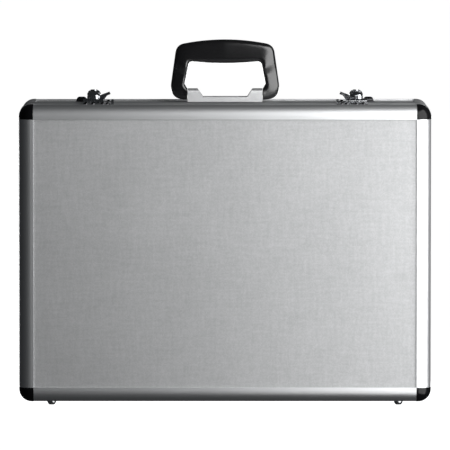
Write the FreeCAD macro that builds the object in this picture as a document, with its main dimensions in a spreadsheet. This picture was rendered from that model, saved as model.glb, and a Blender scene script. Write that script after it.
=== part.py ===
import FreeCAD, Part
import math
import os
import Sketcher

# A hard attache case with an aluminium frame: a base shell with the handle and two locks,
# and a lid shell with two hasps, joined by butt hinges along the bottom edge.
# The case stands on its feet. X is its width, Y its depth with the lid towards -Y, and Z
# points up. The origin is on the ground under the middle of the case. Lengths are in mm.

os.makedirs("parts", exist_ok=True)
doc = FreeCAD.newDocument("attache_case")
sheet = doc.addObject("Spreadsheet::Sheet", "Sizes")


# ---------------------------------------------------------------- sizes that know their cell

class Size:
    """A length with its value and the spreadsheet expression that gives it."""

    def __init__(self, value, text=None):
        self.value = float(value)
        self.text = text or repr(float(value))

    def joined(self, other, sign, value):
        return Size(value, f"({self.text} {sign} {size(other).text})")

    def __add__(self, other):
        return self.joined(other, "+", self.value + size(other).value)

    def __sub__(self, other):
        return self.joined(other, "-", self.value - size(other).value)

    def __mul__(self, other):
        return self.joined(other, "*", self.value * size(other).value)

    def __truediv__(self, other):
        return self.joined(other, "/", self.value / size(other).value)

    def __radd__(self, other):
        return size(other) + self

    def __rsub__(self, other):
        return size(other) - self

    def __rmul__(self, other):
        return size(other) * self

    def __neg__(self):
        return Size(0) - self


def size(value):
    return value if isinstance(value, Size) else Size(value)


cell_row = 0


def cell(alias, value, note):
    """Write one driving dimension to the sheet and return it as a Size."""
    global cell_row
    cell_row += 1
    sheet.set(f"A{cell_row}", note)
    sheet.set(f"B{cell_row}", str(value))
    sheet.setAlias(f"B{cell_row}", alias)
    return Size(value, f"Sizes.{alias}")


case_width = cell("case_width", 457, "outside width")
case_height = cell("case_height", 330, "outside height, standing")
case_depth = cell("case_depth", 150, "outside depth")
lid_depth = cell("lid_depth", 55, "depth of the lid shell")
foot_height = cell("foot_height", 5, "ground to the case")
rail_width = cell("rail_width", 16, "leg of the corner extrusion")
rail_round = cell("rail_round", 13, "outer radius of the extrusion")
rail_inner = cell("rail_inner", 6.7, "inner flange of the extrusions")
skin = cell("skin", 1.5, "lip over the panels")
board = cell("board", 4, "thickness of panels and walls")
slot_reach = cell("slot_reach", 10, "bottom of the panel slots")
fit_gap = cell("fit_gap", 0.2, "play of a board in its slot")
ball_round = cell("ball_round", 14, "radius of the corner caps")
ball_proud = cell("ball_proud", 0.3, "corner caps stand proud")
frame_width = cell("frame_width", 9, "seam frame along the depth")
frame_proud = cell("frame_proud", 0.8, "seam frames stand proud")
frame_round = cell("frame_round", 6, "rounding of the seam frames towards the walls")
seam_gap = cell("seam_gap", 0.4, "gap between the seam frames")
slot_depth = cell("slot_depth", 4, "wall slot in the seam frames")
tongue_long = cell("tongue_long", 3, "tongue of the lid frame")
hinge_spread = cell("hinge_spread", 130, "middle of a hinge from the centre")
hinge_long = cell("hinge_long", 60, "length of a hinge")
knuckle_radius = cell("knuckle_radius", 2.2, "hinge knuckle radius")
hinge_pin_radius = cell("hinge_pin_radius", 1.2, "hinge pin radius")
leaf_thick = cell("leaf_thick", 1, "sheet metal of hinges and plates")
foot_spread = cell("foot_spread", 193, "feet from the centre")
foot_offset = cell("foot_offset", 48, "feet from the middle of the depth")
foot_radius = cell("foot_radius", 5, "foot radius at the case")
foot_flat = cell("foot_flat", 3, "radius of the flat the foot stands on")
stay_radius = cell("stay_radius", 52, "stay pivots from the hinge axis")
stay_offset = cell("stay_offset", 20.2, "stay pivots from the seam")
stay_slot = cell("stay_slot", 4.6, "width of the slot in a stay")
stay_stud = cell("stay_stud", 2, "radius of a stay stud")
handle_y = cell("handle_y", 25, "handle along the depth")
handle_reach = cell("handle_reach", 41.9, "half length of the handle base")
handle_pivot = cell("handle_pivot", 8.6, "handle pin above the case")
handle_pin = cell("handle_pin", 2.5, "handle pin radius")
grip_half = cell("grip_half", 11.5, "half depth of the grip")
grip_round = cell("grip_round", 4, "rounding of the grip")
leg_half = cell("leg_half", 8.5, "half depth of the handle legs")
lock_x = cell("lock_x", 146.6, "lock centre from the middle")
lock_y = cell("lock_y", 5, "lock housing along the depth")
lock_high = cell("lock_high", 12.6, "lock housing above the case")
hasp_y = cell("hasp_y", -33.5, "hasp hinge along the depth")
hasp_z = cell("hasp_z", 2.2, "hasp hinge above the case")
hasp_wide = cell("hasp_wide", 14, "width of a hasp")
key_radius = cell("key_radius", 4, "radius of the key cylinder")
foam_half = cell("foam_half", 212, "half width of the foam pads")
lid_foam = cell("lid_foam", 25, "foam in the lid")
base_foam = cell("base_foam", 12, "foam in the base")
lining = cell("lining", 2, "felt lining")

side_x = case_width / 2
z_low = foot_height
z_high = foot_height + case_height
y_front = -(case_depth / 2)
y_back = case_depth / 2
y_seam = y_front + lid_depth
y_base = y_seam + seam_gap
y_lid_frame = y_seam - frame_width
y_base_frame = y_base + frame_width
wall_top = z_high - skin
wall_bottom = z_low + skin
hinge_y = y_seam + seam_gap / 2
hinge_z = z_low - frame_proud


# ---------------------------------------------------------------- making and joining shapes

def bind(thing, prop, length):
    thing.setExpression(prop, size(length).text)


def place(thing, x, y, z, rotation=None):
    """Bind the place of a thing to the sheet, after an optional fixed rotation."""
    if rotation is not None:
        thing.Placement = FreeCAD.Placement(FreeCAD.Vector(), rotation)
    for prop, length in (("x", x), ("y", y), ("z", z)):
        bind(thing, "Placement.Base." + prop, length)
    return thing


def box(x_low, x_high, y_low, y_high, z_low_face, z_high_face):
    block = doc.addObject("Part::Box", "Block")
    bind(block, "Length", size(x_high) - x_low)
    bind(block, "Width", size(y_high) - y_low)
    bind(block, "Height", size(z_high_face) - z_low_face)
    return place(block, x_low, y_low, z_low_face)


TURN = {
    "X": FreeCAD.Rotation(FreeCAD.Vector(0, 1, 0), 90),
    "Y": FreeCAD.Rotation(FreeCAD.Vector(1, 0, 0), -90),
    "Z": FreeCAD.Rotation(),
}


def rod(axis, start, long, radius):
    """A cylinder from the point start, long millimetres towards plus axis."""
    cylinder = doc.addObject("Part::Cylinder", "Rod")
    bind(cylinder, "Radius", radius)
    bind(cylinder, "Height", long)
    return place(cylinder, *start, TURN[axis])


def ball(x, y, z, radius):
    sphere = doc.addObject("Part::Sphere", "Ball")
    bind(sphere, "Radius", radius)
    return place(sphere, x, y, z)


def fuse(pieces):
    joined = doc.addObject("Part::MultiFuse", "Joined")
    joined.Shapes = pieces
    joined.Refine = True
    return joined


def cut(base, tools):
    """Remove every tool from base."""
    left = doc.addObject("Part::Cut", "Remainder")
    left.Base = base
    left.Tool = tools[0] if len(tools) == 1 else fuse(tools)
    return left


def common(first, second):
    shared = doc.addObject("Part::Common", "Shared")
    shared.Base = first
    shared.Tool = second
    return shared


def group(pieces):
    """Several separate solids that are one kind of piece."""
    several = doc.addObject("Part::Compound", "Several")
    several.Links = pieces
    return several


def mirrored(source, normal, base=(0, 0, 0)):
    """A mirror image of source in the plane through base."""
    image = doc.addObject("Part::Mirroring", "Image")
    image.Source = source
    image.Normal = FreeCAD.Vector(*normal)
    for name, value in zip("xyz", base):
        bind(image, "Base." + name, value)
    return image


def both_sides(source):
    """A piece on the right side and its mirror image on the left."""
    return group([source, mirrored(source, (1, 0, 0))])


def arc(x, y, radius, side):
    """An outline step to (x, y) on an arc. Its centre is on the left for side 1, right for -1."""
    return (size(x), size(y), size(radius), side)


def outline_sketch(body, plane, steps):
    """A closed sketch whose corners and radii are bound to the sheet."""
    sketch = body.newObject("Sketcher::SketchObject", "Outline")
    support = [item for item in body.Origin.OriginFeatures if item.Role == plane][0]
    sketch.AttachmentSupport = [(support, "")]
    sketch.MapMode = "FlatFace"
    corners = [(size(step[0]), size(step[1])) for step in steps]
    ends = []
    for number, step in enumerate(steps):
        start = FreeCAD.Vector(corners[number - 1][0].value, corners[number - 1][1].value, 0)
        finish = FreeCAD.Vector(corners[number][0].value, corners[number][1].value, 0)
        if len(step) == 2:
            edge = sketch.addGeometry(Part.LineSegment(start, finish), False)
            ends.append((edge, 1, 2))
            continue
        radius, side = step[2], step[3]
        chord = finish - start
        middle = (start + finish) / 2
        rise = math.sqrt(max(radius.value ** 2 - (chord.Length / 2) ** 2, 0))
        centre = middle + FreeCAD.Vector(-chord.y, chord.x, 0) / chord.Length * rise * side
        first, last = (start, finish) if side > 0 else (finish, start)
        from_angle = math.atan2(first.y - centre.y, first.x - centre.x)
        to_angle = math.atan2(last.y - centre.y, last.x - centre.x)
        circle = Part.Circle(centre, FreeCAD.Vector(0, 0, 1), radius.value)
        edge = sketch.addGeometry(Part.ArcOfCircle(circle, from_angle, to_angle), False)
        ends.append((edge, 1, 2) if side > 0 else (edge, 2, 1))
    for number, (edge, start, finish) in enumerate(ends):
        following, following_start, unused = ends[(number + 1) % len(ends)]
        sketch.addConstraint(
            Sketcher.Constraint("Coincident", edge, finish, following, following_start))
        for name, length in zip(("DistanceX", "DistanceY"), corners[number]):
            fixed = sketch.addConstraint(
                Sketcher.Constraint(name, -1, 1, edge, finish, length.value))
            bind(sketch, f"Constraints[{fixed}]", length)
        if len(steps[number]) > 2:
            radius = steps[number][2]
            fixed = sketch.addConstraint(Sketcher.Constraint("Radius", edge, radius.value))
            bind(sketch, f"Constraints[{fixed}]", radius)
    return sketch


PLANE = {"X": "YZ_Plane", "Y": "XZ_Plane", "Z": "XY_Plane"}


def prism(axis, steps, low, high):
    """A body padded from an outline along one axis. The outline is in the other two, in order."""
    body = doc.addObject("PartDesign::Body", "Prism")
    sketch = outline_sketch(body, PLANE[axis], steps)
    # The XZ plane faces -Y, so there the sketch starts at the high end.
    bind(sketch, "AttachmentOffset.Base.z", -size(high) if axis == "Y" else size(low))
    pad = body.newObject("PartDesign::Pad", "Pad")
    pad.Profile = sketch
    bind(pad, "Length", size(high) - low)
    return body


def turned(steps):
    """A body turned about Z from an outline in radius and height."""
    body = doc.addObject("PartDesign::Body", "Turned")
    sketch = outline_sketch(body, "XZ_Plane", steps)
    turn = body.newObject("PartDesign::Revolution", "Turn")
    turn.Profile = sketch
    turn.ReferenceAxis = (sketch, ["V_Axis"])
    turn.Angle = 360
    return body


def rounded(body, radius, chosen):
    """Round the edges of a body for which chosen(edge) is true."""
    doc.recompute()
    base = body.Tip
    names = [f"Edge{i + 1}" for i, edge in enumerate(base.Shape.Edges) if chosen(edge)]
    fillet = body.newObject("PartDesign::Fillet", "Rounded")
    fillet.Base = (base, names)
    bind(fillet, "Radius", radius)
    doc.recompute()
    return body


def near(value, length):
    return abs(value - size(length).value) < 0.01


def edge_box(side, inner, outer, end, y_low, y_high):
    """A slab along one side of the case, inner to outer mm deep, its ends end mm from the corners."""
    if side in ("top", "bottom"):
        low, high = (z_high - outer, z_high - inner) if side == "top" else (
            z_low + inner, z_low + outer)
        return box(end - side_x, side_x - end, y_low, y_high, low, high)
    low, high = (side_x - outer, side_x - inner) if side == "right" else (
        inner - side_x, outer - side_x)
    return box(low, high, y_low, y_high, z_low + end, z_high - end)


SIDES = ("top", "bottom", "left", "right")
nodes = {}


def node(label, thing):
    thing.Label = label
    nodes[label] = thing
    return thing


# ---------------------------------------------------------------- corner extrusions

def extrusion(axis, corner, signs, low, high):
    """The L extrusion along axis, with a slot for a board in each leg."""
    def at(u, v):
        return (corner[0] + signs[0] * size(u), corner[1] + signs[1] * size(v))

    outer, inner, lip = rail_width, rail_inner, skin
    slot = lip + board
    turn = signs[0] * signs[1]
    steps = [
        at(0, outer),
        at(0, rail_round),
        arc(*at(rail_round, 0), rail_round, turn),
        at(outer, 0),
        at(outer, lip),
        at(slot_reach, lip),
        at(slot_reach, slot),
        at(outer, slot),
        at(outer, inner),
        at(inner, inner),
        at(inner, outer),
        at(slot, outer),
        at(slot, slot_reach),
        at(lip, slot_reach),
        at(lip, outer),
    ]
    return prism(axis, steps, low, high)


def rails(shell, y_face, inward):
    """The four rails round the face of a shell."""
    for name, z_face, down in (("top", z_high, -1), ("bottom", z_low, 1)):
        rail = extrusion(
            "X", (y_face, z_face), (inward, down), rail_width - side_x, side_x - rail_width)
        node(f"{shell}_rail_{name}", rail)
    for name, x_face, across in (("left", -side_x, 1), ("right", side_x, -1)):
        rail = extrusion(
            "Z", (x_face, y_face), (across, inward), z_low + rail_width, z_high - rail_width)
        node(f"{shell}_rail_{name}", rail)


def posts(shell, y_from, y_to):
    """The four short extrusions from the corner caps to the seam frame."""
    pieces = []
    for x_face, across in ((-side_x, 1), (side_x, -1)):
        for z_face, down in ((z_low, 1), (z_high, -1)):
            pieces.append(extrusion("Y", (x_face, z_face), (across, down), y_from, y_to))
    node(f"{shell}_posts", group(pieces))


# ---------------------------------------------------------------- corner caps

def corner_cap():
    """The cap on the right top corner of the lid, hollow towards the inside of the case."""
    cap = doc.addObject("PartDesign::Body", "CornerCap")
    block = cap.newObject("PartDesign::AdditiveBox", "Block")
    for prop in ("Length", "Width", "Height"):
        bind(block, prop, rail_width + ball_proud)
    place(block, side_x - rail_width, y_front - ball_proud, z_high - rail_width)

    def meets_outer_corner(edge):
        point = FreeCAD.Vector(
            (side_x + ball_proud).value, (y_front - ball_proud).value, (z_high + ball_proud).value)
        return any((vertex.Point - point).Length < 0.01 for vertex in edge.Vertexes)

    rounded(cap, ball_round, meets_outer_corner)
    hollow = cap.newObject("PartDesign::SubtractiveBox", "Hollow")
    for prop in ("Length", "Width", "Height"):
        bind(hollow, prop, rail_width - rail_inner)
    place(hollow, side_x - rail_width, y_front + rail_inner, z_high - rail_width)
    return cap


def corner_caps():
    right_top = corner_cap()
    left_top = mirrored(right_top, (1, 0, 0))
    middle = (0, 0, (z_low + z_high) / 2)
    lid = group([
        right_top,
        left_top,
        mirrored(right_top, (0, 0, 1), middle),
        mirrored(left_top, (0, 0, 1), middle),
    ])
    node("lid_corners", lid)
    node("base_corners", mirrored(lid, (0, 1, 0)))


# ---------------------------------------------------------------- panels, walls and linings

def face_panel(y_low, y_high):
    """The board in the face rails, notched for the corner caps."""
    edge = slot_reach + fit_gap
    plate = box(edge - side_x, side_x - edge, y_low, y_high, z_low + edge, z_high - edge)
    notches = []
    for x_low in (-side_x, side_x - rail_width):
        for z_from in (z_low, z_high - rail_width):
            notches.append(
                box(x_low, x_low + rail_width, y_low, y_high, z_from, z_from + rail_width))
    return cut(plate, notches)


def shell_walls(shell, y_from, y_to, y_corner, holes):
    """The four walls, notched for the caps at y_corner, with their rivet and screw holes."""
    edge = slot_reach + fit_gap
    for side in SIDES:
        wall = edge_box(side, skin, skin + board, edge, y_from, y_to)
        notches = []
        for x_low in (-side_x, side_x - rail_width):
            for z_from in (z_low, z_high - rail_width):
                notches.append(box(
                    x_low, x_low + rail_width, y_corner, y_corner + rail_width,
                    z_from, z_from + rail_width))
        node(f"{shell}_wall_{side}", cut(wall, notches + holes.get(side, [])))


glue = 0.1


def shell_lining(shell, y_sheet, y_from, y_to):
    """Felt on the inside of the face and of the four walls."""
    near_wall = rail_inner + glue
    end = rail_width - 4
    clear = rail_width + fit_gap
    sheets = [box(
        clear - side_x, side_x - clear, y_sheet, y_sheet + lining, z_low + clear, z_high - clear)]
    for side in SIDES:
        sheet_piece = edge_box(side, near_wall, near_wall + lining, end, y_from, y_to)
        if side in ("left", "right"):
            sheet_piece = cut(sheet_piece, [stay_hole(side, shell)])
        sheets.append(sheet_piece)
    node(f"{shell}_lining", group(sheets))


# ---------------------------------------------------------------- seam frames

def seam_frame(shell, y_from, y_to, y_wall, slot_from, edge_tools, edge_strips):
    """The closing frame of a shell in four mitred lengths, rounded down to the walls at y_wall."""
    proud = frame_proud
    radius = ball_round + proud
    left, right = -side_x - proud, side_x + proud
    low, high = z_low - proud, z_high + proud
    outside = prism("Y", [
        (right - radius, low),
        arc(right, low + radius, radius, 1),
        (right, high - radius),
        arc(right - radius, high, radius, 1),
        (left + radius, high),
        arc(left, high - radius, radius, 1),
        (left, low + radius),
        arc(left + radius, low, radius, 1),
    ], y_from, y_to)
    rounded(outside, frame_round, lambda edge: near(edge.CenterOfMass.y, y_wall))
    opening = box(
        rail_inner - side_x, side_x - rail_inner, y_from - 1, y_to + 1,
        z_low + rail_inner, z_high - rail_inner)
    slots = [
        edge_box(side, skin, skin + board, slot_reach - 0.1, slot_from, slot_from + slot_depth)
        for side in SIDES]
    ring = cut(outside, [opening] + slots + edge_tools)
    if edge_strips:
        ring = fuse([ring] + edge_strips)
    reach = rail_width * 2
    corners = {
        "top": [(left, high), (left + reach, high - reach), (right - reach, high - reach),
                (right, high)],
        "bottom": [(left, low), (right, low), (right - reach, low + reach),
                   (left + reach, low + reach)],
        "left": [(left, low), (left + reach, low + reach), (left + reach, high - reach),
                 (left, high)],
        "right": [(right, low), (right, high), (right - reach, high - reach),
                  (right - reach, low + reach)],
    }
    lengths = []
    for side in SIDES:
        wedge = prism("Y", corners[side], y_from - 5, y_to + 5)
        lengths.append(common(ring, wedge))
    node(f"{shell}_frame", group(lengths))


def frame_brackets(shell, y_from, y_to):
    """L plates screwed inside the corners of a seam frame."""
    inner, outer = rail_inner, rail_inner + 1.2
    reach = rail_width + 14
    pieces = []
    for x_sign in (-1, 1):
        for z_face, up in ((z_low, 1), (z_high, -1)):
            def at(u, v):
                return (x_sign * (side_x - u), z_face + up * size(v))
            pieces.append(prism("Y", [
                at(inner, inner), at(reach, inner), at(reach, outer),
                at(outer, outer), at(outer, reach), at(inner, reach),
            ], y_from, y_to))
    node(f"{shell}_frame_brackets", group(pieces))


# ---------------------------------------------------------------- hinges

KNUCKLES = 5
knuckle_pitch = hinge_long / KNUCKLES
knuckle_play = 0.1


def hinge_notches():
    """Clearance in the seam frames round the knuckles."""
    start = hinge_spread - hinge_long / 2 - 0.5
    return [
        rod("X", (start, hinge_y, hinge_z), hinge_long + 1, knuckle_radius + 0.4),
        rod("X", (-start - hinge_long - 1, hinge_y, hinge_z), hinge_long + 1,
            knuckle_radius + 0.4),
    ]


def hinge_leaf(first, y_from, y_to):
    """A leaf under its seam frame with every second knuckle, on the right side."""
    start = hinge_spread - hinge_long / 2
    pieces = [box(
        start, start + hinge_long, y_from, y_to, hinge_z - leaf_thick, hinge_z)]
    for number in range(first, KNUCKLES, 2):
        x_low = start + knuckle_pitch * number + knuckle_play
        wide = knuckle_pitch - 2 * knuckle_play
        pieces.append(rod("X", (x_low, hinge_y, hinge_z), wide, knuckle_radius))
        y_low, y_high = (y_from, hinge_y) if first == 0 else (hinge_y, y_to)
        pieces.append(box(
            x_low, x_low + wide, y_low, y_high, hinge_z - leaf_thick, hinge_z))
    bore = rod("X", (start - 1, hinge_y, hinge_z), hinge_long + 2, hinge_pin_radius + 0.05)
    return both_sides(cut(fuse(pieces), [bore]))


def hinges():
    clear = knuckle_radius + 0.4
    node("lid_hinge_leaves", hinge_leaf(0, y_lid_frame, hinge_y - clear))
    node("base_hinge_leaves", hinge_leaf(1, hinge_y + clear, y_base_frame))
    start = hinge_spread - hinge_long / 2
    pin = rod("X", (start, hinge_y, hinge_z), hinge_long, hinge_pin_radius)
    node("hinge_pins", both_sides(pin))


# ---------------------------------------------------------------- feet

def foot(y):
    """A domed metal foot with a flat to stand on, under a wall."""
    body = turned([
        (0, 0),
        (foot_flat, 0),
        arc(foot_radius, wall_bottom - 2, 6, 1),
        (foot_radius, wall_bottom),
        (0, wall_bottom),
    ])
    place(body, foot_spread, y, 0)
    return both_sides(body)


# ---------------------------------------------------------------- lid stays

stay_rise = Size(
    math.sqrt(stay_radius.value ** 2 - stay_offset.value ** 2),
    "sqrt(Sizes.stay_radius ^ 2 - Sizes.stay_offset ^ 2)")
stay_z = hinge_z + stay_rise
stay_y = {"lid": hinge_y - stay_offset, "base": hinge_y + stay_offset}
stay_inner = rail_inner + lining + 0.6
stay_thick = 1.5
stay_half = 4
# The slot ends where the studs stand with the lid 95 degrees open, as a share of two radii.
stay_reach = 0.94


def stay_hole(side, shell):
    """The hole for a stay rivet through the wall and the lining."""
    start = side_x - 20 if side == "right" else -side_x
    return rod("X", (start, stay_y[shell], stay_z), 20, stay_stud)


def oblong(y_from, y_to, z_middle, radius):
    """A straight slot outline with round ends, each end in two quarter arcs."""
    return [
        (y_to, z_middle - radius),
        arc(y_to + radius, z_middle, radius, 1),
        arc(y_to, z_middle + radius, radius, 1),
        (y_from, z_middle + radius),
        arc(y_from - radius, z_middle, radius, 1),
        arc(y_from, z_middle - radius, radius, 1),
    ]


def stay():
    """A slotted steel arm that limits the lid, on the right side."""
    x_low = side_x - stay_inner - stay_thick
    x_high = side_x - stay_inner
    eye_y = stay_y["lid"]
    tip_y = eye_y + 2 * stay_radius * stay_reach
    arm = prism("X", oblong(eye_y, tip_y, stay_z, stay_half), x_low, x_high)
    hole = rod("X", (x_low - 1, eye_y, stay_z), 5, stay_stud + 0.08)
    slot_half = stay_slot / 2
    slot_start = stay_y["base"] - 0.5
    slot = prism("X", oblong(slot_start, tip_y, stay_z, slot_half), x_low - 1, x_high + 1)
    return cut(arm, [hole, slot])


def stay_rivets(shell):
    """Shouldered rivets through the side walls that carry the stays."""
    y = stay_y[shell]
    head = rod("X", (side_x - skin, y, stay_z), 0.9, 4)
    reach = stay_inner + stay_thick + 0.4 - skin
    shank = rod("X", (side_x - skin - reach, y, stay_z), reach, stay_stud)
    collar = rod("X", (side_x - skin - reach - 1, y, stay_z), 1, 3.4)
    node(f"{shell}_stay_rivets", both_sides(fuse([head, shank, collar])))


# ---------------------------------------------------------------- handle

def above(z):
    """A height above the top plane of the case."""
    return z_high + z


screw_spread = 14
screw_radius = 2
screw_head = 3.6
screw_seat = above(2.9)
ear_thick = 9


def handle_base():
    """A cast base with two ears, screwed to the top wall."""
    ear_top, plate_top = above(13.6), above(4.7)
    ear_in, foot_in = handle_reach - 11, handle_reach - 17
    bracket = prism("Y", [
        (-handle_reach, wall_top),
        (handle_reach, wall_top),
        (handle_reach, ear_top),
        (ear_in, ear_top),
        (foot_in, plate_top),
        (-foot_in, plate_top),
        (-ear_in, ear_top),
        (-handle_reach, ear_top),
    ], handle_y - 11, handle_y + 11)
    rounded(bracket, 4, lambda edge: abs(edge.CenterOfMass.z - ear_top.value) < 0.01
            and near(edge.Length, 11) and abs(edge.CenterOfMass.y - handle_y.value) > 5)
    holes = []
    for x_sign in (-1, 1):
        ear_x = x_sign * (handle_reach - ear_thick / 2)
        bore_start = ear_x - ear_thick / 2
        holes.append(
            rod("X", (bore_start, handle_y, above(handle_pivot)), ear_thick, handle_pin))
        screw_x = x_sign * screw_spread
        holes.append(rod("Z", (screw_x, handle_y, wall_top - 1), 10, screw_radius))
        holes.append(rod("Z", (screw_x, handle_y, screw_seat), 3, screw_head))
    return cut(bracket, holes)


def handle_pins():
    """Steel pins pressed into the ears that the handle turns on."""
    return both_sides(rod(
        "X", (handle_reach - ear_thick, handle_y, above(handle_pivot)), 19, handle_pin))


def handle_screws():
    """Countersunk screws through the base into the wall."""
    low_end = wall_top - board - 1
    shank = rod("Z", (screw_spread, handle_y, low_end), screw_seat - low_end, screw_radius)
    head = rod("Z", (screw_spread, handle_y, screw_seat), 1.7, screw_head)
    slot = box(
        screw_spread - 4, screw_spread + 4, handle_y - 0.5, handle_y + 0.5,
        screw_seat + 1, screw_seat + 2)
    return both_sides(cut(fuse([shank, head]), [slot]))


def crosses_at(edge, corner):
    """True for an edge along the depth through a corner of the outline, on either side."""
    middle = edge.CenterOfMass
    return (near(abs(middle.x), corner[0]) and near(middle.z, corner[1])
            and near(middle.y, handle_y))


def grip_edge(edge):
    """True for the front and back edges of the grip, apart from its inner tips."""
    middle = edge.CenterOfMass
    beside_ear = near(abs(middle.x), handle_reach + 0.3)
    return near(abs(middle.y - handle_y.value), grip_half) and not beside_ear


def handle_grip():
    """The moulded grip with its two legs outside the ears."""
    leg_in = handle_reach + 0.3
    half_side = [(62.8, 2.5), (54.3, 62.4), (40, 44.5), (45.3, 18), (leg_in, 13.4), (leg_in, 0.9)]
    toe, shoulder, armpit, heel, shelf, tip = [(x, above(z)) for x, z in half_side]
    left = {name: (-size(x), z) for name, (x, z) in (
        ("toe", toe), ("shoulder", shoulder), ("armpit", armpit), ("heel", heel),
        ("shelf", shelf), ("tip", tip))}
    face = prism("Y", [
        tip,
        toe,
        shoulder,
        arc(*left["shoulder"], 240, 1),
        left["toe"],
        left["tip"],
        left["shelf"],
        left["heel"],
        left["armpit"],
        arc(*armpit, 330, 1),
        heel,
        shelf,
    ], handle_y - grip_half, handle_y + grip_half)
    for corner, radius in ((toe, 16), (shoulder, 12), (armpit, 6), (heel, 2.5)):
        rounded(face, radius, lambda edge: crosses_at(edge, corner))
    rounded(face, grip_round, grip_edge)
    pivot = above(handle_pivot)
    end_on = prism("X", [
        (handle_y + leg_half, above(30)),
        (handle_y + grip_half + 1, above(42)),
        (handle_y + grip_half + 1, above(75)),
        (handle_y - grip_half - 1, above(75)),
        (handle_y - grip_half - 1, above(42)),
        (handle_y - leg_half, above(30)),
        (handle_y - leg_half, pivot),
        arc(handle_y, pivot - leg_half, leg_half, 1),
        arc(handle_y + leg_half, pivot, leg_half, 1),
    ], -70, 70)
    bores = []
    for x_low in (handle_reach - ear_thick, -handle_reach + ear_thick - 19.2):
        bores.append(rod("X", (x_low, handle_y, pivot), 19.2, handle_pin + 0.06))
    return cut(common(face, end_on), bores)


# ---------------------------------------------------------------- locks and hasps, right side

housing_half = 7.4
housing_front = lock_y - 10
housing_back = lock_y + 12
key_y = lock_y + 5
plate_top = wall_top + leaf_thick
rivet_radius = 1.2
rivet_head = 2.3
rivet_tail = 0.8


def lock_body():
    """A plate with a rounded housing, open in front and above for the hasp tongue."""
    plate = box(lock_x - 20, lock_x + 21, lock_y - 13, lock_y + 16, wall_top, plate_top)
    left, right = lock_x - housing_half, lock_x + housing_half
    top, corner = above(lock_high), 4.5
    housing = prism("Y", [
        (left, plate_top),
        (right, plate_top),
        (right, top - corner),
        arc(right - corner, top, corner, 1),
        (left + corner, top),
        arc(left, top - corner, corner, 1),
    ], housing_front, housing_back)
    rounded(housing, 3, lambda edge: edge.CenterOfMass.z > (top - 8).value
            and (near(edge.CenterOfMass.y, housing_front)
                 or near(edge.CenterOfMass.y, housing_back)))
    tongue_room = box(
        lock_x - 5.7, lock_x + 5.7, housing_front - 1, lock_y - 5, above(1), top + 1)
    bolt_room = box(
        lock_x - 0.5, right + 1, lock_y - 1.7, lock_y + 3.7, above(0.3), above(3.7))
    key_room = rod("Z", (lock_x, key_y, above(6)), 12, key_radius + 0.05)
    return cut(fuse([plate, housing]), [tongue_room, bolt_room, key_room] + lock_rivet_holes())


def lock_rivet_places():
    return [(lock_x - 16, lock_y - 8), (lock_x - 16, lock_y + 11), (lock_x + 16, lock_y + 12)]


def hasp_rivet_places():
    return [(lock_x - 16.2, hasp_y - 8), (lock_x - 11.1, hasp_y - 12), (lock_x, hasp_y - 10),
            (lock_x + 8, hasp_y - 10)]


def rivet_holes(places):
    return [rod("Z", (x, y, wall_top - board - 1), board + 4, rivet_radius) for x, y in places]


def lock_rivet_holes():
    return rivet_holes(lock_rivet_places())


def dome_rivets(places):
    """Ball-headed rivets through a plate and the wall below it."""
    pieces = []
    for x, y in places:
        tail_z = wall_top - board - rivet_tail
        shank = rod("Z", (x, y, tail_z), board + rivet_tail + leaf_thick, rivet_radius)
        tail = rod("Z", (x, y, tail_z), rivet_tail, rivet_head)
        dome = common(
            ball(x, y, plate_top - 0.2, rivet_head),
            box(x - 3, x + 3, y - 3, y + 3, plate_top, plate_top + 3))
        pieces.append(fuse([shank, tail, dome]))
    images = [mirrored(piece, (1, 0, 0)) for piece in pieces]
    return group(pieces + images)


def lock_button():
    """The thumb slide beside the housing, with the bolt that runs into it."""
    body = doc.addObject("PartDesign::Body", "Button")
    block = body.newObject("PartDesign::AdditiveBox", "Block")
    x_low, x_high = lock_x + 8.3, lock_x + 19.4
    bind(block, "Length", x_high - x_low)
    bind(block, "Width", 13)
    top = above(5.4)
    bind(block, "Height", top - plate_top - 0.3)
    place(block, x_low, lock_y - 5.5, plate_top + 0.3)
    rounded(body, 3.6, lambda edge: near(edge.CenterOfMass.z, top))
    bolt = box(lock_x, x_low + 2, lock_y - 1.5, lock_y + 3.5, above(0.5), above(3.5))
    return fuse([body, bolt])


def lock_cylinder():
    """The key plug in the top of the housing, with its key slot."""
    plug = rod("Z", (lock_x, key_y, above(6)), lock_high - 5.4, key_radius)
    slot = box(
        lock_x - 0.6, lock_x + 0.6, key_y - 2.6, key_y + 2.6, above(lock_high - 5),
        above(lock_high + 2))
    return cut(plug, [slot])


def hasp_plate():
    """The plate on the lid with the outer knuckles of the hasp hinge and an upright stop."""
    plate_end = lock_x - 23
    stop_round, stop_top = 1.4, above(5)
    pieces = [box(plate_end, lock_x + 12, hasp_y - 16.5, hasp_y - 3, wall_top, plate_top)]
    knuckle_z = above(hasp_z)
    pieces.append(prism("Y", [
        (plate_end, plate_top),
        (plate_end + 2 * stop_round, plate_top),
        (plate_end + 2 * stop_round, stop_top - stop_round),
        arc(plate_end + stop_round, stop_top, stop_round, 1),
        arc(plate_end, stop_top - stop_round, stop_round, 1),
    ], hasp_y - 12, hasp_y - 5))
    for x_low in (lock_x - 11.4, lock_x + 7.3):
        pieces.append(rod("X", (x_low, hasp_y, knuckle_z), 4.1, 2.6))
        pieces.append(box(x_low, x_low + 4.1, hasp_y - 4.2, hasp_y, wall_top, knuckle_z))
    pin_hole = rod("X", (lock_x - 12, hasp_y, knuckle_z), 24, 1)
    return cut(fuse(pieces), [pin_hole] + rivet_holes(hasp_rivet_places()))


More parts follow.
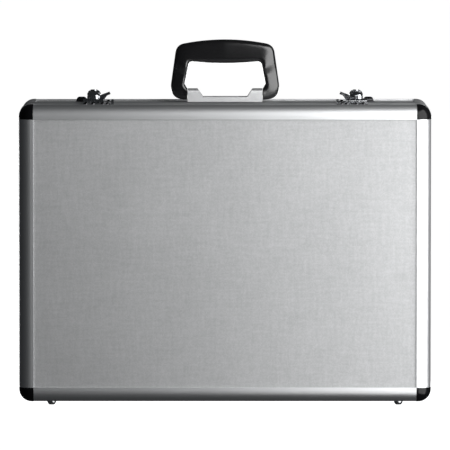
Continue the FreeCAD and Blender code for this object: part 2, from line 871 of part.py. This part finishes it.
def hasp():
    """The hasp: a domed hollow cover with its tongue and its slanted finger tab."""
    knuckle_z = above(hasp_z)
    left, right = lock_x - hasp_wide / 2, lock_x + hasp_wide / 2
    top, front, back = above(11.8), hasp_y + 5, hasp_y + 27
    corner, wall = 5.4, 1.6
    cover = prism("Y", [
        (left, above(1.8)),
        (right, above(1.8)),
        (right, top - corner),
        arc(right - corner, top, corner, 1),
        (left + corner, top),
        arc(left, top - corner, corner, 1),
    ], front, back)
    rounded(cover, 5, lambda edge: near(edge.CenterOfMass.y, front)
            and edge.CenterOfMass.z > above(2).value)
    hollow = box(
        left + wall, right - wall, front + 5, back + 1, above(3.8), top - wall - 1.4)
    strap = box(left, right, hasp_y, front + 5, above(1.8), above(3.8))
    tongue = box(lock_x - 5, lock_x + 5, hasp_y + 26, hasp_y + 32.5, above(1.8), above(3.8))
    tab = prism("Y", [
        (left + 1, above(4.4)),
        (left + 1, above(7.6)),
        (lock_x - 17.6, above(12)),
        (lock_x - 18.9, above(9.6)),
    ], hasp_y + 9, hasp_y + 22)
    web = prism("Y", [
        (left + 1, above(1.9)),
        (left + 1, above(5)),
        (lock_x - 16, above(9.2)),
        (lock_x - 11, above(1.9)),
    ], hasp_y + 14.5, hasp_y + 16.5)
    knuckle = rod("X", (left, hasp_y, knuckle_z), hasp_wide, 2.6)
    bore = rod("X", (left - 1, hasp_y, knuckle_z), hasp_wide + 2, 1.06)
    return cut(fuse([cover, strap, tongue, tab, web, knuckle]), [hollow, bore])


def hasp_pins():
    return both_sides(rod("X", (lock_x - 11.4, hasp_y, above(hasp_z)), 22.8, 1))


# ---------------------------------------------------------------- the case

inset = slot_reach + fit_gap
rails("lid", y_front, 1)
rails("base", y_back, -1)
posts("lid", y_front + rail_width, y_lid_frame)
posts("base", y_base_frame, y_back - rail_width)
corner_caps()
node("lid_panel", face_panel(y_front + skin, y_front + skin + board))
node("base_panel", face_panel(y_back - skin - board, y_back - skin))

mirror_places = [(-x, y) for x, y in hasp_rivet_places()]
lid_holes = {"top": rivet_holes(hasp_rivet_places() + mirror_places)}
mirror_places = [(-x, y) for x, y in lock_rivet_places()]
base_holes = {"top": rivet_holes(lock_rivet_places() + mirror_places)}
for x in (-screw_spread, screw_spread):
    base_holes["top"].append(
        rod("Z", (x, handle_y, wall_top - board - 2), board + 4, screw_radius))
for side in ("left", "right"):
    lid_holes[side] = [stay_hole(side, "lid")]
    base_holes[side] = [stay_hole(side, "base")]
shell_walls("lid", y_front + inset, y_lid_frame + slot_depth - fit_gap, y_front, lid_holes)
shell_walls("base", y_base_frame - slot_depth + fit_gap, y_back - inset,
            y_back - rail_width, base_holes)
inner_face = skin + board
shell_lining("lid", y_front + inner_face + glue, y_front + inner_face + lining + 2 * glue,
             y_lid_frame - 2 * glue)
shell_lining("base", y_back - inner_face - lining - glue, y_base_frame + 2 * glue,
             y_back - inner_face - lining - 2 * glue)

tongue_outer, tongue_inner, tongue_end = 2.2, 4.8, 12.5
tongue_play = 1
grooves = [
    edge_box(
        side, tongue_outer - tongue_play, tongue_inner + tongue_play, tongue_end - tongue_play,
        y_base, y_base + tongue_long + 0.6)
    for side in SIDES]
tongues = [
    edge_box(side, tongue_outer, tongue_inner, tongue_end, y_seam - 0.5, y_seam + tongue_long)
    for side in SIDES]
seam_frame("lid", y_lid_frame, y_seam, y_lid_frame, y_lid_frame, hinge_notches(), tongues)
seam_frame("base", y_base, y_base_frame, y_base_frame, y_base_frame - slot_depth,
           hinge_notches() + grooves, [])
frame_brackets("lid", y_lid_frame + 1.5, y_seam - 1.5)
frame_brackets("base", y_base + 1.5, y_base_frame - 1.5)
hinges()
node("lid_feet", foot(-foot_offset))
node("base_feet", foot(foot_offset))

foam_rim = 15
foam_low, foam_high = z_low + foam_rim, z_high - foam_rim
lid_foam_back = y_front + inner_face + lining + 2 * glue
node("lid_foam", box(
    -foam_half, foam_half, lid_foam_back, lid_foam_back + lid_foam, foam_low, foam_high))
base_foam_back = y_back - inner_face - lining - 2 * glue
node("base_foam", box(
    -foam_half, foam_half, base_foam_back - base_foam, base_foam_back, foam_low, foam_high))

right_stay = node("stay_right", stay())
node("stay_left", mirrored(right_stay, (1, 0, 0)))
stay_rivets("lid")
stay_rivets("base")

node("handle_base", handle_base())
node("handle_pins", handle_pins())
node("handle_screws", handle_screws())
node("handle_grip", handle_grip())

node("base_rivets", dome_rivets(lock_rivet_places()))
node("lid_rivets", dome_rivets(hasp_rivet_places()))
node("hasp_pins", hasp_pins())
for name, make in (
    ("lock_body", lock_body),
    ("lock_button", lock_button),
    ("lock_cylinder", lock_cylinder),
    ("hasp_plate", hasp_plate),
    ("hasp", hasp),
):
    right_piece = node(f"{name}_right", make())
    node(f"{name}_left", mirrored(right_piece, (1, 0, 0)))

# ---------------------------------------------------------------- checks and export

doc.recompute()
for thing in doc.Objects:
    if "Invalid" in thing.State or "Error" in thing.State:
        raise RuntimeError(f"{thing.Label} did not compute: {thing.State}")
for label, thing in nodes.items():
    if thing.Shape.isNull() or not thing.Shape.isValid():
        raise RuntimeError(f"{label} has no valid shape")
for label, thing in nodes.items():
    thing.Shape.exportStep(f"parts/{label}.step")
print(f"{len(nodes)} nodes, {sum(len(thing.Shape.Solids) for thing in nodes.values())} solids")
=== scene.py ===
import math

import bmesh
import bpy
import numpy as np
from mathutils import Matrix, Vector


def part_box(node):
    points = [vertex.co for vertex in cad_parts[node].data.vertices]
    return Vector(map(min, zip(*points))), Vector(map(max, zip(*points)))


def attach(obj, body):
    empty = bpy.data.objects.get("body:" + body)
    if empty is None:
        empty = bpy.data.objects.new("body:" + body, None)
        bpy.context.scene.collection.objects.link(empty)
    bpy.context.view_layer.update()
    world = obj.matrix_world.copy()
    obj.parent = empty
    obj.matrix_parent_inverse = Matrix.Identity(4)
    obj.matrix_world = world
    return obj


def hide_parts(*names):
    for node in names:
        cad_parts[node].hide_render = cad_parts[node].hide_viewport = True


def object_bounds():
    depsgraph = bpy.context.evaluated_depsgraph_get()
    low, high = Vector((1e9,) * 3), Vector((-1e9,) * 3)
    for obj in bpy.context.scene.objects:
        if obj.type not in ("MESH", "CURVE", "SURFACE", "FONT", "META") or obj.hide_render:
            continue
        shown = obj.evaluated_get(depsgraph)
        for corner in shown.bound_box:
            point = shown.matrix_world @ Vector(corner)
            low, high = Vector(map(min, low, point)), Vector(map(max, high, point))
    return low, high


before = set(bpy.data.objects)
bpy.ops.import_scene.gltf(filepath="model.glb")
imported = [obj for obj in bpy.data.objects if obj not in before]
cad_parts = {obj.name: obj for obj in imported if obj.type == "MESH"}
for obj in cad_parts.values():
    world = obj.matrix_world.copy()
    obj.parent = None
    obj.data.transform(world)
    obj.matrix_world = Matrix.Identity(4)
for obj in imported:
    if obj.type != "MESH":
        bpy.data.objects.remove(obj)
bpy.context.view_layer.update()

MM = 0.001


# ---------------------------------------------------------------- node materials

class Shader:
    """A node material, with short ways to add nodes and to drive the shader's sockets."""

    def __init__(self, name, colour, roughness, metallic=0.0, **own):
        self.material = bpy.data.materials.new(name)
        self.material.use_nodes = True
        tree = self.material.node_tree
        self.nodes, self.links = tree.nodes, tree.links
        self.surface = self.nodes["Principled BSDF"]
        self.colour, self.roughness = colour, roughness
        self.surface.inputs["Base Color"].default_value = (*colour, 1)
        self.surface.inputs["Roughness"].default_value = roughness
        self.surface.inputs["Metallic"].default_value = metallic
        for socket, value in own.items():
            self.surface.inputs[socket.replace("_", " ")].default_value = value
        self.place = self.add("ShaderNodeTexCoord").outputs["Object"]
        self.height = None

    def add(self, kind, **settings):
        made = self.nodes.new(kind)
        for name, value in settings.items():
            setattr(made, name, value)
        return made

    def feed(self, made, **values):
        """Set a node's inputs by name or number, linking those that are sockets."""
        for name, value in values.items():
            socket = made.inputs[int(name[1:])] if name[0] == "i" and name[1:].isdigit() else (
                made.inputs[name.replace("_", " ")])
            if isinstance(value, bpy.types.NodeSocket):
                self.links.new(value, socket)
            else:
                socket.default_value = value
        return made

    def math(self, operation, first, second=0.0, third=0.0):
        made = self.add("ShaderNodeMath", operation=operation)
        self.feed(made, i0=first, i1=second, i2=third)
        return made.outputs[0]

    def axes(self):
        return self.feed(self.add("ShaderNodeSeparateXYZ"), Vector=self.place).outputs

    def noise(self, scale, detail=3.0, stretch=(1, 1, 1), roughness=0.5):
        """Fractal noise of so many features a metre, drawn out along the axes of stretch."""
        mapping = self.feed(
            self.add("ShaderNodeMapping"), Vector=self.place,
            Scale=tuple(scale / part for part in stretch))
        made = self.feed(
            self.add("ShaderNodeTexNoise"), Vector=mapping.outputs[0], Scale=1.0,
            Detail=detail, Roughness=roughness)
        return made.outputs["Fac"]

    def cells(self, scale):
        made = self.feed(
            self.add("ShaderNodeTexVoronoi", feature="F1"), Vector=self.place, Scale=scale)
        return made.outputs["Distance"]

    def span(self, value, low, high, out_low, out_high):
        made = self.feed(
            self.add("ShaderNodeMapRange", clamp=True), Value=value,
            From_Min=low, From_Max=high, To_Min=out_low, To_Max=out_high)
        return made.outputs[0]

    def tone(self, factor, low, high):
        """Scale the base colour between low and high as factor goes from 0 to 1."""
        mix = self.add("ShaderNodeMix", data_type="RGBA")
        self.feed(
            mix, i0=factor,
            i6=(*(part * low for part in self.colour), 1),
            i7=(*(part * high for part in self.colour), 1))
        self.links.new(mix.outputs[2], self.surface.inputs["Base Color"])

    def vary_roughness(self, factor, low, high):
        self.links.new(self.span(factor, 0, 1, low, high), self.surface.inputs["Roughness"])

    def relief(self, height, depth, strength=1.0):
        """Add a bump of so many metres, on top of the bumps before it."""
        bump = self.feed(
            self.add("ShaderNodeBump"), Height=height, Distance=depth, Strength=strength)
        if self.height is not None:
            self.links.new(self.height, bump.inputs["Normal"])
        self.height = bump.outputs[0]
        self.links.new(self.height, self.surface.inputs["Normal"])


PANEL_GREY = (0.50, 0.505, 0.51)
RAIL_SILVER = (0.80, 0.81, 0.82)


def laminate(name, first, second):
    """Silver laminate with a fine pressed grid in the plane of two axes, such as X and Z; its
    grooves are darkened with painted shade.
    """
    shader = Shader(name, PANEL_GREY, 0.42, 0.75, Specular_IOR_Level=0.5)
    pitch, groove = 1.25 * MM, 0.22 * MM
    axes = shader.axes()
    lines, ids = [], []
    for axis in (first, second):
        near_line = shader.math("PINGPONG", axes[axis], pitch / 2)
        lines.append(shader.span(near_line, 0, groove, 0, 1))
        ids.append(shader.math("FLOOR", shader.math("DIVIDE", axes[axis], pitch)))
    raised = shader.math("MINIMUM", lines[0], lines[1])
    cell = shader.add("ShaderNodeCombineXYZ")
    shader.feed(cell, X=ids[0], Y=ids[1])
    random_tone = shader.add("ShaderNodeTexWhiteNoise", noise_dimensions="3D")
    shader.feed(random_tone, Vector=cell.outputs[0])
    # painted shade: the colour is darker in the pressed grooves, where the bump sinks them
    tone = shader.math("MULTIPLY", raised, 0.22)
    tone = shader.math("MULTIPLY_ADD", random_tone.outputs["Value"], 0.20, tone)
    tone = shader.math("MULTIPLY_ADD", shader.noise(9, 2), 0.28, tone)
    for axis in (first, second):
        threads = shader.noise(330, 2, tuple(7.0 if name == axis else 1.0 for name in "XYZ"))
        tone = shader.math("MULTIPLY_ADD", threads, 0.30, tone)
    shader.tone(tone, 0.68, 1.20)
    shader.vary_roughness(shader.noise(260, 2), 0.68, 0.80)
    shader.relief(raised, 0.05 * MM, 0.6)
    shader.relief(shader.noise(2200, 2), 0.02 * MM, 0.35)
    return shader.material


def drawn(shader, axis):
    """Fine lines that run along one axis, as extruding or brushing leaves them."""
    stretch = [1.0, 1.0, 1.0]
    stretch["XYZ".index(axis)] = 260.0
    return shader.noise(2600, 3, tuple(stretch))


def extruded(name, axis):
    """Satin anodised aluminium with its die lines along one axis."""
    shader = Shader(name, RAIL_SILVER, 0.40, 1.0)
    lines = drawn(shader, axis)
    wear = shader.noise(14, 4)
    shader.tone(wear, 0.93, 1.04)
    shader.vary_roughness(lines, 0.42, 0.52)
    shader.relief(lines, 0.012 * MM, 0.5)
    return shader.material


def mitred_aluminium():
    """The seam frames, whose die lines run along the width above and below, else upright."""
    shader = Shader("frame_aluminium", RAIL_SILVER, 0.40, 1.0)
    low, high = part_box("lid_frame")
    middle = (low.z + high.z) / 2
    axes = shader.axes()
    across = shader.math("SUBTRACT", high.x, shader.math("ABSOLUTE", axes["X"]))
    up = shader.math("SUBTRACT", axes["Z"], middle)
    along = shader.math("SUBTRACT", high.z - middle, shader.math("ABSOLUTE", up))
    on_side = shader.math("LESS_THAN", across, along)
    mix = shader.add("ShaderNodeMix", data_type="FLOAT")
    shader.feed(mix, i0=on_side, i2=drawn(shader, "X"), i3=drawn(shader, "Z"))
    lines = mix.outputs[0]
    shader.tone(shader.noise(18, 4), 0.90, 1.05)
    shader.vary_roughness(lines, 0.42, 0.52)
    shader.relief(lines, 0.012 * MM, 0.5)
    return shader.material


def gloss_black():
    """Moulded corner caps: deep gloss with a trace of orange peel and handling marks."""
    shader = Shader("corner_black", (0.004, 0.004, 0.0045), 0.18, Specular_IOR_Level=0.2)
    smudge = shader.noise(60, 5, roughness=0.65)
    shader.tone(smudge, 0.7, 1.6)
    shader.vary_roughness(smudge, 0.12, 0.26)
    shader.relief(shader.noise(420, 2), 0.02 * MM, 0.25)
    return shader.material


def satin_black():
    """Moulded handle: fine leather-like spark grain, worn smoother in patches."""
    grain = 2200
    shader = Shader("handle_black", (0.006, 0.006, 0.0065), 0.22, 0.0, Specular_IOR_Level=0.85)
    worn = shader.noise(35, 4)
    shader.tone(worn, 0.8, 1.5)
    shader.vary_roughness(worn, 0.14, 0.26)
    shader.relief(shader.cells(grain), 0.04 * MM, 0.3)
    shader.relief(shader.noise(grain / 3, 3), 0.05 * MM, 0.4)
    return shader.material


def plated(name, colour, low, high):
    """Bright plating with faint polishing lines and hairline scratches."""
    shader = Shader(name, colour, (low + high) / 2, 1.0)
    polish = shader.noise(1800, 3, (1, 12, 1))
    haze = shader.noise(90, 4)
    shader.tone(haze, 0.9, 1.05)
    shader.vary_roughness(shader.math("MULTIPLY", polish, haze), low, high)
    shader.relief(polish, 0.002 * MM, 0.12)
    return shader.material


def zinc():
    """Zinc plated steel: a dull spangle with brighter scuffs."""
    shader = Shader("zinc_steel", (0.56, 0.57, 0.585), 0.34, 1.0)
    spangle = shader.cells(420)
    shader.tone(spangle, 0.82, 1.18)
    shader.vary_roughness(shader.noise(150, 4), 0.25, 0.48)
    shader.relief(shader.noise(900, 3), 0.01 * MM, 0.5)
    return shader.material


def polished_casting():
    """The handle base: bright polished casting, slightly rippled."""
    shader = Shader("polished_casting", (0.90, 0.905, 0.91), 0.55, 1.0)
    ripple = shader.noise(160, 3)
    shader.tone(ripple, 0.92, 1.04)
    shader.vary_roughness(shader.noise(600, 3, (10, 1, 1)), 0.50, 0.62)
    shader.relief(ripple, 0.03 * MM, 0.3)
    return shader.material


def felt():
    """Needled felt: matted fibres of random tone, with a painted highlight that makes them
    lighter where the bump stands them up.
    """
    shader = Shader("lining_felt", (0.050, 0.051, 0.056), 0.95, 0.0, Sheen_Weight=0.5,
                    Sheen_Roughness=0.5)
    fibres = shader.noise(1400, 6, (1.8, 1, 2.6), 0.7)
    # partly random fibre tone, partly painted highlight: the colour follows the bump, lighter
    # where fibres stand up
    shader.tone(fibres, 0.45, 1.7)
    shader.relief(fibres, 0.35 * MM, 0.7)
    shader.relief(shader.noise(60, 3), 0.25 * MM, 0.4)
    return shader.material


def foam_rubber(name, colour):
    """Open-cell foam: a matt charcoal body whose small pores are darkened with painted shade."""
    shader = Shader(name, colour, 0.93, 0.0, Sheen_Weight=0.25)
    pores = shader.cells(1150)
    # painted shade: the colour darkens into the pits of the pores, where the bump sinks
    shader.tone(shader.span(pores, 0.12, 0.55, 0, 1), 0.35, 1.5)
    shader.relief(pores, 0.5 * MM, 0.8)
    shader.relief(shader.noise(240, 3), 0.3 * MM, 0.4)
    return shader.material


def give(material, *names):
    """Put one material on CAD nodes."""
    for name in names:
        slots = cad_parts[name].data.materials
        slots.clear()
        slots.append(material)


SHELLS = ("lid", "base")
face_laminate = laminate("laminate_face", "X", "Z")
flat_laminate = laminate("laminate_top", "X", "Y")
side_laminate = laminate("laminate_side", "Y", "Z")
rail_x, rail_y, rail_z = (extruded(f"rail_{axis.lower()}", axis) for axis in "XYZ")
frame_metal, black_caps = mitred_aluminium(), gloss_black()
handle_black = satin_black()
chrome = plated("bright_chrome", (0.60, 0.61, 0.63), 0.10, 0.30)
dark_chrome = plated("dark_chrome", (0.10, 0.10, 0.105), 0.12, 0.34)
steel, casting = zinc(), polished_casting()
lining_felt = felt()
for shell in SHELLS:
    give(face_laminate, f"{shell}_panel")
    give(flat_laminate, f"{shell}_wall_top", f"{shell}_wall_bottom")
    give(side_laminate, f"{shell}_wall_left", f"{shell}_wall_right")
    give(rail_x, f"{shell}_rail_top", f"{shell}_rail_bottom")
    give(rail_z, f"{shell}_rail_left", f"{shell}_rail_right")
    give(rail_y, f"{shell}_posts")
    give(frame_metal, f"{shell}_frame")
    give(black_caps, f"{shell}_corners")
    give(steel, f"{shell}_frame_brackets", f"{shell}_hinge_leaves", f"{shell}_stay_rivets")
    give(steel, f"{shell}_feet")
    give(dark_chrome, f"{shell}_rivets")
give(steel, "hinge_pins", "handle_pins", "handle_screws", "hasp_pins", "stay_left", "stay_right")
give(casting, "handle_base")
give(handle_black, "handle_grip")
for side in ("left", "right"):
    give(chrome, f"lock_body_{side}", f"hasp_plate_{side}", f"hasp_{side}",
         f"lock_cylinder_{side}")
    give(dark_chrome, f"lock_button_{side}")


# ---------------------------------------------------------------- soft pieces

def object_from(name, mesh_maker, material, body, smooth=True):
    """A new mesh object made by a bmesh function, which rides on a body."""
    mesh = bpy.data.meshes.new(name)
    work = bmesh.new()
    mesh_maker(work)
    bmesh.ops.recalc_face_normals(work, faces=work.faces[:])
    work.to_mesh(mesh)
    work.free()
    mesh.materials.append(material)
    for polygon in mesh.polygons:
        polygon.use_smooth = smooth
    piece = bpy.data.objects.new(name, mesh)
    bpy.context.scene.collection.objects.link(piece)
    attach(piece, body)
    return piece


def slab(work, xs, zs, front, back):
    """A closed slab on a grid of xs and zs, with its faces at y = front(x, z) and back(x, z)."""
    sheets = []
    for face in (front, back):
        sheets.append([[work.verts.new((x, face(x, z), z)) for z in zs] for x in xs])
    for sheet_verts in sheets:
        for i in range(len(xs) - 1):
            for j in range(len(zs) - 1):
                work.faces.new((
                    sheet_verts[i][j], sheet_verts[i + 1][j],
                    sheet_verts[i + 1][j + 1], sheet_verts[i][j + 1]))
    rim = [(i, 0) for i in range(len(xs))]
    rim += [(len(xs) - 1, j) for j in range(1, len(zs))]
    rim += [(i, len(zs) - 1) for i in range(len(xs) - 2, -1, -1)]
    rim += [(0, j) for j in range(len(zs) - 2, 0, -1)]
    for number, (i, j) in enumerate(rim):
        following_i, following_j = rim[(number + 1) % len(rim)]
        work.faces.new((
            sheets[0][i][j], sheets[0][following_i][following_j],
            sheets[1][following_i][following_j], sheets[1][i][j]))


def eased(x, z, low, high, reach, depth):
    """How far a face dips near its rim, so that a pad has soft edges."""
    from_rim = min(x - low.x, high.x - x, z - low.z, high.z - z)
    if from_rim >= reach:
        return 0.0
    share = 1 - from_rim / reach
    return depth * (1 - math.sqrt(max(1 - share * share, 0)))


def crate_foam():
    """Convoluted foam in the lid, its peaks towards the contents."""
    low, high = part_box("lid_foam")
    pitch = 0.0265
    columns = round((high.x - low.x) / pitch)
    rows = round((high.z - low.z) / pitch)
    wave_x = 2 * math.pi * columns / (high.x - low.x)
    wave_z = 2 * math.pi * rows / (high.z - low.z)
    valley, peak = low.y + 0.008, high.y - 0.0004

    def front(x, z):
        wave = math.cos((x - low.x) * wave_x) * math.cos((z - low.z) * wave_z)
        swell = (0.5 - 0.5 * wave) ** 0.85
        return valley + (peak - valley) * swell - eased(x, z, low, high, 0.008, 0.006)

    def back(x, z):
        return low.y + 0.0001

    xs = np.linspace(low.x, high.x, columns * 10 + 1)
    zs = np.linspace(low.z, high.z, rows * 10 + 1)
    piece = object_from(
        "lid_crate_foam", lambda work: slab(work, xs, zs, front, back),
        foam_rubber("foam_charcoal", (0.062, 0.063, 0.068)), "lid")
    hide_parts("lid_foam")


def cube_foam():
    """Pre-scored foam in the base: a grid of small blocks that can be plucked out."""
    low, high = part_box("base_foam")
    block = 0.0152
    score, score_depth = 0.0006, 0.0035
    columns = round((high.x - low.x) / block)
    rows = round((high.z - low.z) / block)

    def lines(start, end, count):
        step = (end - start) / count
        places = [start]
        for number in range(count):
            corner = start + number * step
            places += [corner + score, corner + step / 2, corner + step - score, corner + step]
        return places

    xs, zs = lines(low.x, high.x, columns), lines(low.z, high.z, rows)
    step_x, step_z = (high.x - low.x) / columns, (high.z - low.z) / rows

    def front(x, z):
        offset_x = (x - low.x) / step_x
        offset_z = (z - low.z) / step_z
        scored = min(
            abs(offset_x - round(offset_x)) * step_x, abs(offset_z - round(offset_z)) * step_z)
        inside = low.x < x < high.x and low.z < z < high.z
        uneven = 0.0003 * math.sin(37 * math.floor(offset_x) + 61 * math.floor(offset_z))
        dip = score_depth if scored < score / 2 and inside else 0.0
        return low.y + 0.0004 + uneven + dip + eased(x, z, low, high, 0.004, 0.003)

    def back(x, z):
        return high.y - 0.0001

    piece = object_from(
        "base_cube_foam", lambda work: slab(work, xs, zs, front, back),
        foam_rubber("foam_black", (0.040, 0.041, 0.044)), "base", smooth=False)
    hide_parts("base_foam")


def lining_sheets(shell):
    """Felt glued inside a shell: the CAD sheets with soft edges and a slightly uneven nap."""
    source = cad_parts[f"{shell}_lining"]
    work = bmesh.new()
    work.from_mesh(source.data)
    bmesh.ops.remove_doubles(work, verts=work.verts[:], dist=1e-6)
    bmesh.ops.dissolve_limit(
        work, angle_limit=math.radians(2), verts=work.verts[:], edges=work.edges[:])
    mesh = bpy.data.meshes.new(f"{shell}_felt")
    work.to_mesh(mesh)
    work.free()
    mesh.materials.append(lining_felt)
    piece = bpy.data.objects.new(f"{shell}_felt", mesh)
    bpy.context.scene.collection.objects.link(piece)
    rounding = piece.modifiers.new("soft_edges", "BEVEL")
    rounding.width = 0.0007
    rounding.segments = 3
    rounding.limit_method = "ANGLE"
    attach(piece, shell)
    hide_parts(f"{shell}_lining")


def bezier(start, control, end, steps):
    """Points along a curve that leaves start and reaches end in the directions of control."""
    points = []
    for number in range(steps + 1):
        t = number / steps
        points.append(tuple(
            (1 - t) ** 2 * a + 2 * t * (1 - t) * c + t ** 2 * b
            for a, c, b in zip(start, control, end)))
    return points


def evenly(points, count):
    """The same path with count steps of equal length."""
    path = np.array(points)
    steps = np.hypot(*np.diff(path, axis=0).T)
    along = np.concatenate([[0], np.cumsum(steps)])
    places = np.linspace(0, along[-1], count + 1)
    return np.column_stack([np.interp(places, along, path[:, k]) for k in (0, 1)])


def crown(radius, edge_x, edge_z, sign, end_x):
    """A long arc across the middle, through (edge_x, edge_z); sign -1 bows it downwards."""
    drop = radius - math.sqrt(radius ** 2 - edge_x ** 2)
    points = []
    for x in np.linspace(0, end_x, 16):
        fall = radius - math.sqrt(radius ** 2 - x ** 2)
        points.append((x, edge_z + sign * (drop - fall)))
    return points


def grip_outlines():
    """Matching outer and inner points down one half of the grip, in mm over the case top."""
    top_steps, leg_steps, toe_steps = 22, 16, 14
    shoulder, ankle = (54.3, 62.4), (60.4, 19.4)
    outer_top = crown(240, *shoulder, 1, 46.3)
    outer_bend = bezier(outer_top[-1], shoulder, (55.5, 54.2), 8)
    outer = [
        evenly(outer_top + outer_bend[1:5], top_steps),
        evenly(outer_bend[4:] + [ankle], leg_steps),
        evenly(bezier(ankle, (62.6, 2.6), (46.5, 1.3), 12) + [(42.3, 1.0)], toe_steps)]
    armpit, heel = (40.0, 44.5), (44.8, 20.0)
    inner_top = crown(330, *armpit, -1, 35.6)
    inner_bend = bezier(inner_top[-1], armpit, (40.9, 40.0), 8)
    inner = [
        evenly(inner_top + inner_bend[1:5], top_steps),
        evenly(inner_bend[4:] + [heel], leg_steps),
        evenly([heel, (45.0, 18.4), (44.4, 16.8), (42.3, 13.4)], toe_steps)]
    return [np.vstack([part[0], part[1][1:], part[2][1:]]) for part in (outer, inner)]


def moulded_grip():
    """The grip as a moulding: a soft section along the outline, thinner outwards on the legs."""
    low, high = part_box("handle_grip")
    middle_y = (low.y + high.y) / 2
    half_depth, leg_depth = (high.y - low.y) / 2, 0.0085
    leg_level, blend_height = 28, 16
    case_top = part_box("lid_rail_top")[1].z
    outer, inner = grip_outlines()
    around, power, seam, leg_taper = 48, 2 / 4.2, 0.0001, 0.34
    rings = []
    for (outer_x, outer_z), (inner_x, inner_z) in zip(outer, inner):
        level = (outer_z + inner_z) / 2
        share = min(max((level - leg_level) / blend_height, 0), 1)
        depth = leg_depth + (half_depth - leg_depth) * share * share * (3 - 2 * share)
        centre = ((outer_x + inner_x) / 2 * MM, (outer_z + inner_z) / 2 * MM)
        reach = ((outer_x - inner_x) / 2 * MM, (outer_z - inner_z) / 2 * MM)
        length = math.hypot(*reach)
        taper = leg_taper * abs(reach[0]) / length
        ring = []
        for number in range(around):
            angle = 2 * math.pi * number / around
            out = math.copysign(abs(math.cos(angle)) ** power, math.cos(angle))
            aside = math.copysign(abs(math.sin(angle)) ** power, math.sin(angle))
            ridge = seam / length * math.copysign(1, out) if number % (around // 2) == 0 else 0
            thinner = 1 - taper * (1 + out) / 2
            ring.append((
                centre[0] + reach[0] * (out + ridge), middle_y + depth * aside * thinner,
                case_top + centre[1] + reach[1] * (out + ridge)))
        rings.append(ring)
    left = [[(-x, y, z) for x, y, z in ring] for ring in rings[:0:-1]]
    whole = left + rings

    def build(work):
        verts = [[work.verts.new(place) for place in ring] for ring in whole]
        for first, second in zip(verts, verts[1:]):
            for k in range(around):
                following = (k + 1) % around
                work.faces.new((first[k], first[following], second[following], second[k]))
        for ring in (verts[0], verts[-1]):
            work.faces.new(ring)

    piece = object_from("grip_moulding", build, handle_black, "handle")
    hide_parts("handle_grip")


crate_foam()
cube_foam()
for shell in SHELLS:
    lining_sheets(shell)
moulded_grip()


# ---------------------------------------------------------------- stage, light and camera

low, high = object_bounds()
FLOOR_BELOW = -0.09


def stage_floor():
    """A plain pale floor, low enough for the lid to swing down over it."""
    shader = Shader("floor_pale", (0.25, 0.25, 0.25), 1.0, Emission_Strength=1.0,
                    Specular_IOR_Level=0.0)
    shader.tone(shader.noise(2, 2), 0.98, 1.02)
    shader.surface.inputs["Emission Color"].default_value = (1, 1, 1, 1)
    mesh = bpy.data.meshes.new("floor")
    work = bmesh.new()
    bmesh.ops.create_grid(work, x_segments=2, y_segments=2, size=20)
    work.to_mesh(mesh)
    work.free()
    mesh.materials.append(shader.material)
    floor = bpy.data.objects.new("floor", mesh)
    floor.location.z = FLOOR_BELOW
    floor.visible_glossy = False
    floor.visible_diffuse = False
    bpy.context.scene.collection.objects.link(floor)


def area_light(name, place, target, width, height, power):
    light = bpy.data.lights.new(name, "AREA")
    light.shape = "RECTANGLE"
    light.size, light.size_y = width, height
    light.energy = power
    lamp = bpy.data.objects.new(name, light)
    lamp.location = place
    lamp.rotation_euler = (Vector(target) - Vector(place)).to_track_quat("-Z", "Y").to_euler()
    lamp.visible_camera = False
    bpy.context.scene.collection.objects.link(lamp)


def world_light():
    """White to the camera, a low even grey to the surfaces."""
    world = bpy.data.worlds.new("studio")
    world.use_nodes = True
    nodes, links = world.node_tree.nodes, world.node_tree.links
    seen = nodes["Background"]
    seen.inputs["Color"].default_value = (1, 1, 1, 1)
    seen.inputs["Strength"].default_value = 1.0
    ambient = nodes.new("ShaderNodeBackground")
    ambient.inputs["Color"].default_value = (0.9, 0.95, 1, 1)
    ambient.inputs["Strength"].default_value = 0.03
    path = nodes.new("ShaderNodeLightPath")
    mix = nodes.new("ShaderNodeMixShader")
    links.new(path.outputs["Is Camera Ray"], mix.inputs[0])
    links.new(ambient.outputs[0], mix.inputs[1])
    links.new(seen.outputs[0], mix.inputs[2])
    links.new(mix.outputs[0], nodes["World Output"].inputs["Surface"])
    bpy.context.scene.world = world


def camera():
    """A long lens from the front, a few degrees above the middle of the case."""
    face_low, face_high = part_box("lid_rail_left")[0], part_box("lid_rail_right")[1]
    distance, elevation = 7.0, math.radians(4.0)
    seen_width = (face_high.x - face_low.x) * 1.0905
    lens = bpy.data.cameras.new("camera")
    lens.sensor_width = 36
    lens.lens = lens.sensor_width * distance / seen_width
    lens.clip_end = 50
    view = bpy.data.objects.new("camera", lens)
    aim = Vector((0.0, low.y, low.z + 0.5007 * (high.z - low.z)))
    back = Vector((0, -math.cos(elevation), math.sin(elevation)))
    view.location = aim + back * distance
    view.rotation_euler = (-back).to_track_quat("-Z", "Y").to_euler()
    bpy.context.scene.collection.objects.link(view)
    bpy.context.scene.camera = view


stage_floor()
world_light()
area_light("key", (0.48, -0.47, 0.25), (0, low.y, 0.17), 0.76, 1.44, 14.3)
area_light("back", (-0.1, 1.15, 0.12), (0, high.y, 0.12), 1.2, 0.34, 8)
camera()
bpy.context.scene.view_settings.view_transform = "Standard"
